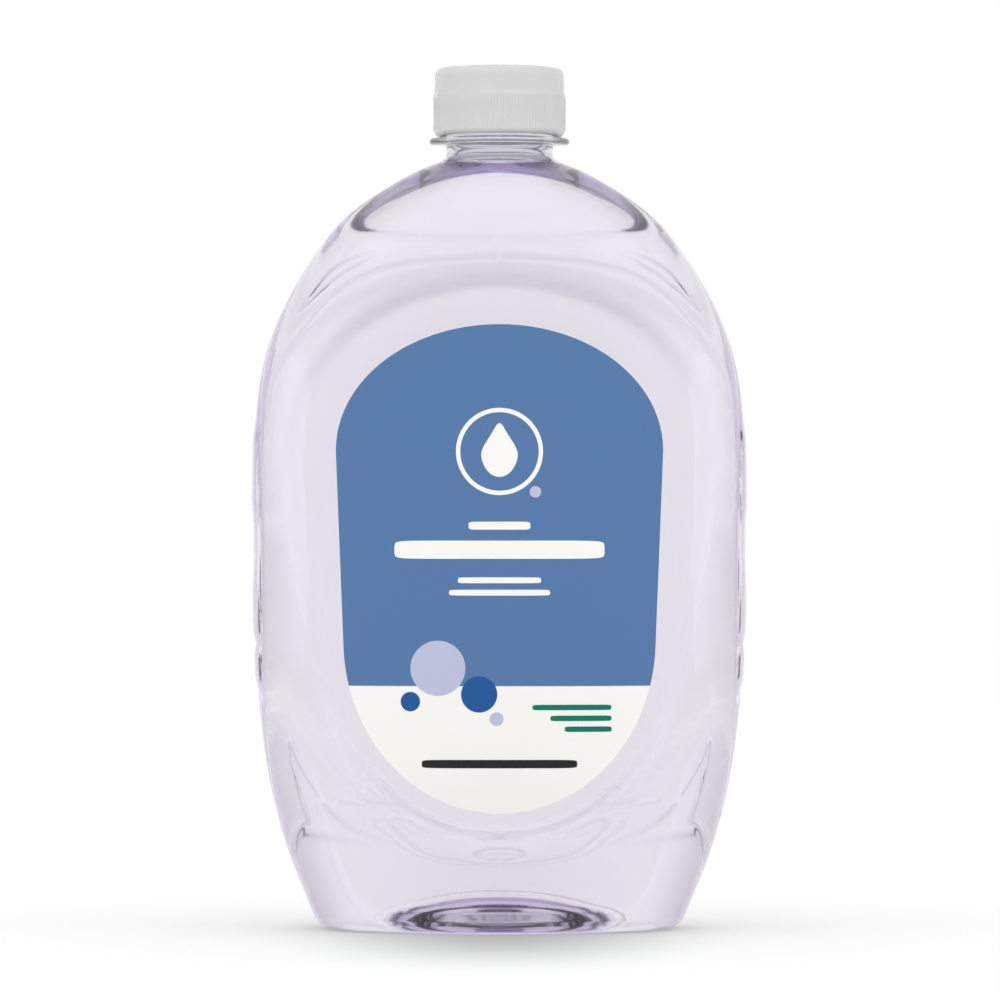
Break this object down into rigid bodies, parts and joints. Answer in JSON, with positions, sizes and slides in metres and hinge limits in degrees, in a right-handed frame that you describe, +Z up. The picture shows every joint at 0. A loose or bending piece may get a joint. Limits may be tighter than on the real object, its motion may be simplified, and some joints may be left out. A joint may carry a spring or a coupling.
{
  "type": "hand soap refill pack",
  "caption": "Clear oval refill bottle of liquid hand soap, with a screw cap on a threaded neck and a printed label on its front and back.",
  "frame": {"origin": "centre of the bottle's base, on the plane it stands on", "axes": "+Z up along the neck, X across the wide face, Y through the depth with the front label facing -Y"},
  "size_m": [0.1378, 0.078, 0.2406],
  "materials": {
    "clear_pet": "clear blown plastic with a faint lavender tint, glossy",
    "lavender_liquid": "clear thick liquid, very pale lavender",
    "natural_pp": "uncoloured translucent moulded plastic, satin",
    "foam_liner": "white pressed foam disc",
    "label_print": "film label, satin, mid blue over off-white"
  },
  "bodies": {
    "bottle": {"bottle": "clear_pet", "hand_soap": "lavender_liquid", "front_label": "label_print", "back_label": "label_print"},
    "liner": {"cap_liner": "foam_liner"},
    "cap": {"cap": "natural_pp"}
  },
  "joints": [
    {"name": "cap_lift", "type": "slide", "parent": "bottle", "child": "liner", "axis": [0, 0, 1], "range_m": [0, 0.0192]},
    {"name": "cap_turn", "type": "hinge", "parent": "liner", "child": "cap", "pos_m": [0, 0, 0.2306], "axis": [0, 0, 1], "range_deg": [0, 1620]}
  ],
  "couplings": [
    {"joint": "cap_lift", "follows": "cap_turn", "m_per_rad": 0.0006737}
  ]
}
